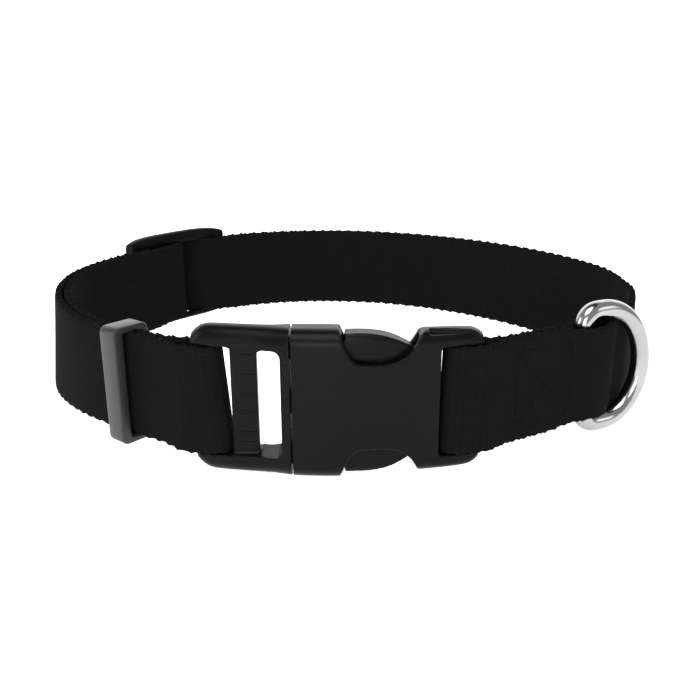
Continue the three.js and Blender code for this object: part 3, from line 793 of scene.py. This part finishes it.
buckleSet = {
    "left": -32.5,
    "length": 59.7,
    "high": 32.1,
    "thick": 9.4,
    "bend": 135.0,
    "front": -65.3,
    "seam": -11.9,
    "seamGap": 0.32,
    "wall": 1.8,
    "bayHalf": 11.99,
    "maleBar": -29.2,
    "ribLeft": -24.4,
    "ribRight": -18.9,
    "openRight": -14.0,
    "openHalf": 11.69,
    "femaleSlot": 18.42,
    "femaleBar": 22.62,
    "barThick": 3.2,
    "cutStart": -1.9,
    "cutLength": 17.0,
    "cutDeep": 6.9,
    "socketEnd": 14.08,
    "ridges": [10.0, 5.8, 1.8, 1.3, -2.2, -2.7, -6.9, -7.4, -9.2],
    "ridgeHalf": 0.2,
    "bayCorner": 0.7,
    "openCorner": 1.5,
    "barWide": 4.9,
    "stepFrom": 15.9,  # the low step in the socket's upper front edge
    "stepTo": 26.3,
    "stepAt": 21,
    "stepHigh": 14.45,
    "stepDeep": 1.1,
    "frameFront": 0.36,
    "ribFront": 1.2,  # the rib bar lies behind the frame's front and is thin
    "ribBack": 3.3,
    "armRoom": 0.3,  # between the inner parts and the socket's walls
    "armThick": 3.6,
    "maleRound": 0.46,  # corner radius, as a share of the thickness
    "roundDrop": 0.10,
    "roundOver": (0.27, 0.36),
    "socketRound": 0.36,
    "coreRound": 0.48,
    "coreLeast": 0.6,
    "around": 128,
    "cuts": 59,
    "grain": 0.27,
    "smooth": 3,
    # along the buckle, thickness and height, as shares of the greatest
    "rows": [(0.000, 0.52, 0.86), (0.025, 0.58, 0.95), (0.050, 0.62, 0.99), (0.085, 0.64, 1.00),
             (0.230, 0.72, 1.00), (0.340, 0.94, 1.00), (0.500, 1.00, 1.00), (0.640, 0.97, 0.98),
             (0.790, 0.74, 0.955), (0.930, 0.60, 0.945), (0.975, 0.56, 0.920), (1.000, 0.50, 0.85)],
}
frontAir, backAir = -95.0, -40.0  # places in front of the buckle and behind it


def buckleMiddleY(x):
    middle = buckleSet["left"] + buckleSet["length"] / 2
    return buckleSet["front"] + buckleSet["bend"] - math.sqrt(buckleSet["bend"] ** 2 - (x - middle) ** 2)


def rowAt(share, column):
    # smooth steps between the rows
    rows = buckleSet["rows"]
    index = 0
    while index < len(rows) - 2 and rows[index + 1][0] < share:
        index += 1

    def slope(at):
        low, high = max(at - 1, 0), min(at + 1, len(rows) - 1)
        return (rows[high][column] - rows[low][column]) / (rows[high][0] - rows[low][0])

    run = rows[index + 1][0] - rows[index][0]
    t = min(max((share - rows[index][0]) / run, 0), 1)
    return hermite(rows[index][column], rows[index + 1][column], slope(index) * run, slope(index + 1) * run, t)


def roundedPoint(share, wide, high, radius):
    # a point of a rounded rectangle's outline, by its share of the way round from the middle of one long side
    straightUp, straightOver, arc = high / 2 - radius, wide / 2 - radius, math.pi / 2 * radius
    quarter = straightUp + straightOver + arc
    turn = share * 4 % 4
    side = int(turn)
    run = (turn - side) * quarter
    if side % 2:
        run = quarter - run
    if run < straightUp:
        point = (wide / 2, run)
    elif run < straightUp + arc:
        angle = (run - straightUp) / radius
        point = (wide / 2 - radius + radius * math.cos(angle), straightUp + radius * math.sin(angle))
    else:
        point = (wide / 2 - radius - (run - straightUp - arc), high / 2)
    return (point[0] * (1 if side in (0, 3) else -1), point[1] * (1 if side in (0, 1) else -1))


def buckleShell(inset=0):
    # the whole outside of the buckle, or a thinner core of it
    deselectAll()
    around = buckleSet["around"]
    bpy.ops.mesh.primitive_cylinder_add(vertices=around, radius=0.5, depth=1, end_fill_type="NGON",
                                        rotation=(0, math.pi / 2, 0))
    piece = bpy.context.object
    bpy.ops.object.transform_apply(rotation=True)
    ringCuts(piece, buckleSet["cuts"])
    for vertex in piece.data.vertices:
        share = vertex.co.x + 0.5
        x = buckleSet["left"] + share * buckleSet["length"]
        thick = rowAt(share, 1) * buckleSet["thick"]
        high = rowAt(share, 2) * buckleSet["high"]
        turn = round(math.atan2(vertex.co.z, vertex.co.y) / (2 * math.pi) * around) / around % 1
        left = max(thick - 2 * inset, buckleSet["coreLeast"])
        # the male half's rails are rounder
        drop = buckleSet["roundDrop"] * smoothStep(share, *buckleSet["roundOver"])
        radius = (buckleSet["maleRound"] - drop) * thick
        if inset:
            radius = min(buckleSet["socketRound"] * thick, buckleSet["coreRound"] * left)
        across, up = roundedPoint(turn, left, high, radius)
        vertex.co = place(x, buckleMiddleY(x) + across, midHigh + up)
    turnOut(piece)
    return piece


def trim(piece, x, keepRight):
    # cuts a piece square at a place along the buckle
    pick(piece)
    bpy.ops.object.mode_set(mode="EDIT")
    bpy.ops.mesh.select_all(action="SELECT")
    bpy.ops.mesh.bisect(plane_co=place(x, 0, 0), plane_no=(1, 0, 0), use_fill=True,
                        clear_inner=keepRight, clear_outer=not keepRight)
    bpy.ops.object.mode_set(mode="OBJECT")


def prism(outline, near=frontAir, far=backAir):
    # an outline seen from the front (x, height from the strap's middle), drawn through from near to far
    deselectAll()
    bpy.ops.mesh.primitive_circle_add(vertices=len(outline), fill_type="NOTHING")
    piece = bpy.context.object
    for vertex, (x, up) in zip(piece.data.vertices, outline):
        vertex.co = place(x, near, midHigh + up)
    bpy.ops.object.mode_set(mode="EDIT")
    bpy.ops.mesh.select_all(action="SELECT")
    bpy.ops.mesh.edge_face_add()
    bpy.ops.mesh.extrude_region_move(TRANSFORM_OT_translate={"value": (0, (far - near) * mm, 0)})
    bpy.ops.object.mode_set(mode="OBJECT")
    turnOut(piece)
    return piece


def roundedOutline(left, right, bottom, top, radius, steps=6):
    outline = []
    for cx, cy, start in ((right - radius, top - radius, 0), (left + radius, top - radius, 1),
                          (left + radius, bottom + radius, 2), (right - radius, bottom + radius, 3)):
        for step in range(steps + 1):
            angle = math.pi / 2 * (start + step / steps)
            outline.append((cx + radius * math.cos(angle), cy + radius * math.sin(angle)))
    return outline


def sideBlock(right, near, side):
    # what lies beyond a height, above the middle (1) or below it (-1), from the seam to its right
    ends = sorted((side * near, side * 30))
    return prism(roundedOutline(buckleSet["seam"] - 4, right, *ends, 0.3, 2))


def bezier(a, b, c, d, count):
    points = []
    for step in range(1, count + 1):
        t = step / count
        points.append(tuple(a[k] * (1 - t) ** 3 + 3 * b[k] * t * (1 - t) ** 2 + 3 * c[k] * t * t * (1 - t)
                            + d[k] * t ** 3 for k in (0, 1)))
    return points


def cutOutline(side):
    # the opening that shows the press lobe, at the top (1) or the bottom (-1)
    left, length, deep = buckleSet["cutStart"], buckleSet["cutLength"], buckleSet["cutDeep"]
    right, high = left + length, buckleSet["high"] / 2
    low = high - deep
    points = [(left - 0.6, high + 2), (left, high - 1)]
    points += bezier(points[-1], (left + 0.08 * length, high - 0.75 * deep), (left + 0.16 * length, low),
                     (left + 0.29 * length, low), 10)
    points += [(left + 0.4 * length, low), (left + 0.52 * length, low)]
    points += bezier(points[-1], (left + 0.72 * length, low + 0.04 * deep),
                     (left + 0.86 * length, low + 0.26 * deep), (right - 0.06 * length, high - 0.2 * deep), 10)
    points += [(right, high - 0.12 * deep), (right, high + 2)]
    return [(x, side * up) for x, up in points]


def barPiece(at, out):
    # flat oval bar that the strap folds round
    deselectAll()
    run = (buckleSet["barWide"] - buckleSet["barThick"]) * out
    half = buckleSet["barThick"] / 2
    tilt = math.asin((at - buckleSet["left"] - buckleSet["length"] / 2) / buckleSet["bend"])
    bpy.ops.mesh.primitive_cylinder_add(vertices=32, radius=half * mm,
                                        depth=(2 * buckleSet["bayHalf"] + 2) * mm)
    piece = bpy.context.object
    for vertex in piece.data.vertices:
        if vertex.co.x * out > 0:
            vertex.co.x += run * mm
    piece.rotation_euler = (0, 0, tilt)
    piece.location = place(at, buckleMiddleY(at), midHigh)
    bpy.ops.object.transform_apply(location=True, rotation=True)
    return piece


def soften(piece):
    # one skin of even faces, its edges a little rounded
    applyModifier(piece, "REMESH", {"mode": "VOXEL", "voxel_size": buckleSet["grain"] * mm})
    applyModifier(piece, "SMOOTH", {"factor": 0.5, "iterations": buckleSet["smooth"]})
    bpy.ops.object.shade_smooth()


def makeFemale():
    seam, gap, bay = buckleSet["seam"], buckleSet["seamGap"], buckleSet["bayHalf"]
    rightEnd = buckleSet["left"] + buckleSet["length"]
    stepFace = buckleMiddleY(buckleSet["stepAt"]) - buckleSet["stepDeep"]
    piece = buckleShell()
    trim(piece, seam - 1, True)
    cutAway(piece, prism(cutOutline(1)), prism(cutOutline(-1)))
    # the socket's end steps down along its upper front edge
    cutAway(piece, prism(roundedOutline(buckleSet["stepFrom"], buckleSet["stepTo"], buckleSet["stepHigh"], 19,
                                        0.3, 2), frontAir, stepFace))
    cutAway(piece, prism(roundedOutline(buckleSet["femaleSlot"], rightEnd + 6, -bay, bay,
                                        buckleSet["bayCorner"], 3)))
    socket = buckleShell(buckleSet["wall"])
    trim(socket, seam - 2, True)
    trim(socket, buckleSet["socketEnd"], False)
    wallHalf = buckleSet["high"] / 2 - buckleSet["wall"]
    for side in (1, -1):
        cutAway(socket, sideBlock(buckleSet["socketEnd"] + 3, wallHalf, side))
    cutAway(piece, socket)
    piece = join(piece, barPiece(buckleSet["femaleBar"], 1))
    soften(piece)
    trim(piece, seam + gap / 2, True)
    bpy.ops.object.shade_smooth_by_angle(angle=math.radians(50))
    hold(piece, "buckleSocket", "collar", "buckle", buckleFinish, "buckle_female")


def lobeOutline(side):
    # one springing arm with its press lobe
    high, length, deep = buckleSet["high"] / 2, buckleSet["cutLength"], buckleSet["cutDeep"]
    armTop = high - buckleSet["wall"] - 0.9
    left, nose = buckleSet["cutStart"] + 0.9, buckleSet["socketEnd"] - 0.9
    top, noseHigh, under = high - 0.15 * deep, high - 0.64 * deep, high - 1.3 * deep
    points = [(buckleSet["seam"] - 2, armTop), (left - 0.3, armTop), (left, top)]
    points += bezier(points[-1], (left + 0.45 * length, top + 0.6), (nose - 0.2 * length, top - 0.2 * deep),
                     (nose, noseHigh), 12)
    armLow = armTop - buckleSet["armThick"]
    points += [(nose - 0.04 * length, under), (left, armLow), (buckleSet["seam"] - 2, armLow)]
    return [(x, side * up) for x, up in points]


def makeMale():
    seam, gap = buckleSet["seam"], buckleSet["seamGap"]
    bay, openHalf = buckleSet["bayHalf"], buckleSet["openHalf"]
    ribLeft, ribRight = buckleSet["ribLeft"], buckleSet["ribRight"]
    coreInset = buckleSet["wall"] + buckleSet["armRoom"]
    piece = buckleShell()
    trim(piece, seam + 1, False)
    cutAway(piece, prism(roundedOutline(buckleSet["left"] - 6, ribLeft, -bay, bay, buckleSet["bayCorner"], 3)))
    cutAway(piece, prism(roundedOutline(ribRight, buckleSet["openRight"], -openHalf, openHalf,
                                        buckleSet["openCorner"])))
    front = buckleMiddleY(ribLeft) - buckleSet["frameFront"] * buckleSet["thick"]
    cutAway(piece, prism(roundedOutline(ribLeft - 1, ribRight + 0.3, -openHalf, openHalf, 0.4, 3),
                         frontAir, front + buckleSet["ribFront"]))
    cutAway(piece, prism(roundedOutline(ribLeft + 0.2, ribRight + 0.6, -openHalf, openHalf, 0.4, 3),
                         front + buckleSet["ribBack"], backAir))
    piece = join(piece, barPiece(buckleSet["maleBar"], -1))
    soften(piece)
    trim(piece, seam - gap / 2, False)
    half = buckleSet["ridgeHalf"]
    ridges = [prism(roundedOutline(ribLeft + 1.7, ribRight - 0.25, up - half, up + half, 0.15, 2),
                    front + 1.08, front + 2.2) for up in buckleSet["ridges"]]
    parts = []
    for side in (1, -1):
        core = buckleShell(coreInset)
        arm = prism(lobeOutline(side))
        applyModifier(arm, "BOOLEAN", {"operation": "INTERSECT", "solver": "EXACT", "object": core})
        bpy.data.objects.remove(core)
        applyModifier(arm, "BEVEL", {"width": 1.3 * mm, "segments": 4, "limit_method": "ANGLE",
                                     "angle_limit": math.radians(60)})
        parts.append(arm)
    tongue = buckleShell(coreInset)
    trim(tongue, seam - 2, True)
    trim(tongue, buckleSet["socketEnd"] - 1.8, False)
    for side in (1, -1):
        cutAway(tongue, sideBlock(30, 2, side))
    inside = join(*parts, tongue)
    soften(inside)
    piece = join(piece, inside, *ridges)
    bpy.ops.object.shade_smooth_by_angle(angle=math.radians(50))
    hold(piece, "bucklePlug", "collar", "buckle", buckleFinish, "buckle_male")


makeFemale()
makeMale()


# Stitching: lock stitches in black thread through both layers

stitchSet = {
    "long": 2.2,
    "pitch": 2.7,
    "wide": 0.5,
    "proud": 0.1,
    "sunk": 0.02,
    "search": (50.6, 125.0),  # the lengths between which the outer layer passes the seams beside the D-ring
    "box": (34.9, 48.6),
    "rows": (59.2, 60.4),
    "tail": (2.0, 4.0),  # from the strap's end, inside the slide
    "half": 9.6,
}


def strapFace(at, up, side):
    # a point on the strap's outer face (1) or its inner one (-1)
    point, direction = strapAt(at)
    out = side * webbingSet["thick"] / 2
    return strapPoint(point.x + direction.y * out, point.y - direction.x * out, up)


def outerAt(x, first, last):
    # how far along the strap its outer layer passes a place, between two lengths
    return min((first + (last - first) * step / 400 for step in range(401)),
               key=lambda at: abs(strapAt(at)[0].x - x))


def stitchRow(start, end, side=1):
    # stitches from one point of the strap's face to another, each point (along, up)
    run = math.dist(start, end)
    count = max(1, round(run / stitchSet["pitch"]))
    half = stitchSet["long"] / stitchSet["pitch"] / 2
    pieces = []
    for step in range(count):
        ends = []
        for part in (0.5 - half, 0.5 + half):
            share = (step + part) / count
            ends.append((start[0] + (end[0] - start[0]) * share, start[1] + (end[1] - start[1]) * share))
        a, b = strapFace(*ends[0], side), strapFace(*ends[1], side)
        direction = strapAt((ends[0][0] + ends[1][0]) / 2)[1]
        outwards = Vector((direction.y, -direction.x, 0)) * side
        lengthwise = (b - a).normalized()
        aside = outwards.cross(lengthwise).normalized()
        deselectAll()
        bpy.ops.mesh.primitive_uv_sphere_add(segments=10, ring_count=8, radius=1)
        stitch = bpy.context.object
        turn = Matrix((lengthwise, aside, outwards)).transposed()
        middle = (a + b) / 2
        for vertex in stitch.data.vertices:
            flat = Vector((vertex.co.x * (b - a).length / 2, vertex.co.y * stitchSet["wide"] / 2 * mm,
                           (vertex.co.z * stitchSet["proud"] - stitchSet["sunk"]) * mm))
            vertex.co = middle + turn @ flat
        pieces.append(stitch)
    return pieces


def makeStitching():
    near, far = (outerAt(x, *stitchSet["search"]) for x in stitchSet["box"])
    edge = stitchSet["half"]
    stitches = []
    for start, end in (((near, edge), (far, edge)), ((near, -edge), (far, -edge)),
                       ((near, -edge), (near, edge)), ((far, -edge), (far, edge)),
                       ((near, -edge), (far, edge)), ((near, edge), (far, -edge))):
        stitches += stitchRow(start, end)
    for x in stitchSet["rows"]:
        at = outerAt(x, *stitchSet["search"])
        stitches += stitchRow((at, -edge), (at, edge))
    for back in stitchSet["tail"]:
        stitches += stitchRow((strapLength - back, -edge), (strapLength - back, edge), -1)
    piece = join(*stitches)
    bpy.ops.object.shade_smooth()
    hold(piece, "stitching", "collar", "webbing", threadFinish)
    return piece


stitching = makeStitching()
